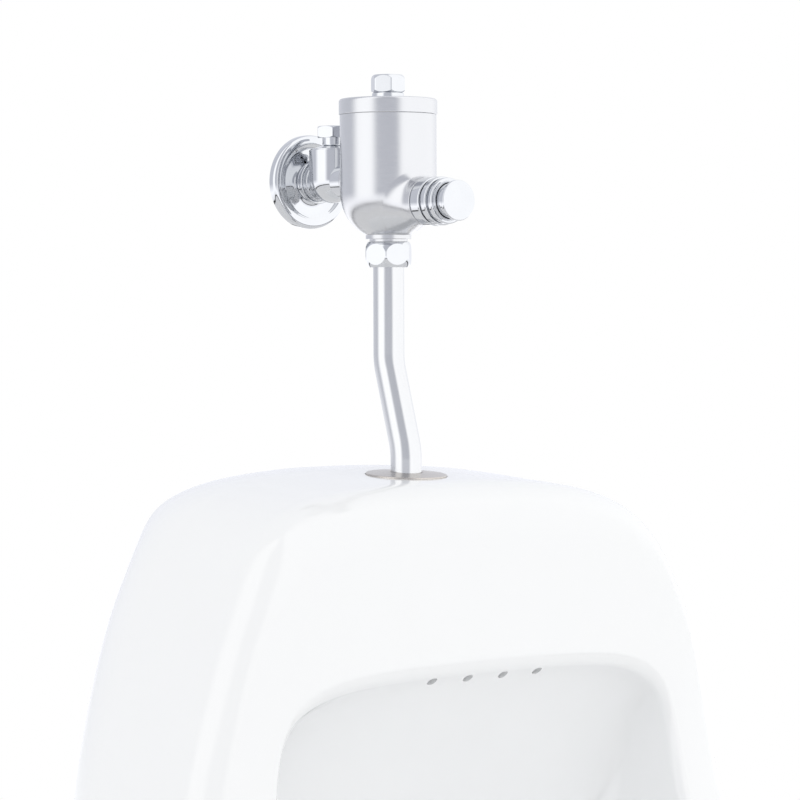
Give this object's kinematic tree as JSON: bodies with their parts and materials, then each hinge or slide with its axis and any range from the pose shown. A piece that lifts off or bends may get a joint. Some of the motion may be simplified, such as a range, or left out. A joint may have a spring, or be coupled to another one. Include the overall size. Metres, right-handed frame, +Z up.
{
  "type": "wall hung urinal",
  "caption": "White vitreous china wall-hung urinal with an exposed push-button flush valve, bent flush pipe, angle stop, wall hangers and waste outlet.",
  "frame": {"origin": "midway between the two hanger holes, in the plane of the wall", "axes": "+X to the right seen from the room, +Y into the wall, +Z up"},
  "size_m": [0.3746, 0.3317, 0.7213],
  "materials": {
    "china": "white glaze, glossy",
    "bright_chrome": "polished chrome plate",
    "satin_chrome": "satin chrome plate",
    "pipe_metal": "chrome plate, softly polished",
    "steel": "brushed stainless steel",
    "zinc_steel": "zinc plated",
    "waste_metal": "cast and nickel plated",
    "brass": "turned, bare",
    "rubber": "moulded, matt"
  },
  "bodies": {
    "root": {"urinal_bowl": "china", "hanger_left": "zinc_steel", "hanger_right": "zinc_steel", "waste_body": "waste_metal", "waste_strainer": "steel", "strainer_screw": "steel", "waste_seal_top": "rubber", "waste_seal_bottom": "rubber", "waste_locknut": "waste_metal", "flush_pipe": "pipe_metal", "inlet_seal": "rubber", "pipe_gasket": "rubber", "outlet_nut": "bright_chrome", "valve_body": "satin_chrome", "valve_seat": "brass", "valve_lid": "satin_chrome", "lid_seal": "rubber", "lid_cap": "bright_chrome", "button_collar": "bright_chrome", "stem_gland": "brass", "stem_seal": "rubber", "stop_body": "bright_chrome", "stop_cap": "bright_chrome", "union_seal": "rubber"},
    "button": {"button_cap": "satin_chrome", "button_stem": "steel", "button_spring": "steel"},
    "piston": {"piston": "brass", "piston_cup": "rubber", "piston_disc": "rubber", "piston_spring": "steel"},
    "relief": {"relief_valve": "brass", "relief_seal": "rubber"},
    "volume_ring": {"volume_screw_seal": "rubber"},
    "volume_screw": {"volume_screw": "brass"},
    "spindle_ring": {"stop_spindle_seal": "rubber"},
    "spindle": {"stop_spindle": "brass", "stop_disc": "rubber"},
    "rosette": {"wall_rosette": "bright_chrome"},
    "flange": {"pipe_flange": "steel"}
  },
  "joints": [
    {"name": "button_press", "type": "slide", "parent": "root", "child": "button", "axis": [0, 1, 0], "range_m": [0, 0.005], "stiffness_N_per_m": 600, "springref_m": -0.004, "deforming": ["button_spring"]},
    {"name": "piston_lift", "type": "slide", "parent": "root", "child": "piston", "axis": [0, 0, 1], "range_m": [0, 0.006], "stiffness_N_per_m": 400, "springref_m": -0.004, "deforming": ["piston_spring"]},
    {"name": "relief_tilt", "type": "hinge", "parent": "piston", "child": "relief", "pos_m": [0, -0.083, 0.2695], "axis": [1, 0, 0], "range_deg": [0, 9.1]},
    {"name": "volume_advance", "type": "slide", "parent": "root", "child": "volume_ring", "axis": [0, 0, 1], "range_m": [-0.002, 0.002]},
    {"name": "volume_turn", "type": "hinge", "parent": "volume_ring", "child": "volume_screw", "pos_m": [0, -0.075, 0.294], "axis": [0, 0, 1], "range_deg": [-720, 720]},
    {"name": "spindle_advance", "type": "slide", "parent": "root", "child": "spindle_ring", "axis": [0, 0, 1], "range_m": [-0.0044, 0]},
    {"name": "spindle_turn", "type": "hinge", "parent": "spindle_ring", "child": "spindle", "pos_m": [0, -0.0245, 0.269], "axis": [0, 0, 1], "range_deg": [-1056, 0]},
    {"name": "rosette_slide", "type": "slide", "parent": "root", "child": "rosette", "axis": [0, -1, 0], "range_m": [0, 0.003]},
    {"name": "flange_slide", "type": "slide", "parent": "root", "child": "flange", "axis": [0, 0, 1], "range_m": [0, 0.005]}
  ],
  "couplings": [
    {"joint": "relief_tilt", "follows": "button_press", "rad_per_m": 31.745},
    {"joint": "volume_turn", "follows": "volume_advance", "rad_per_m": 6283.1},
    {"joint": "spindle_turn", "follows": "spindle_advance", "rad_per_m": 4188.7}
  ]
}
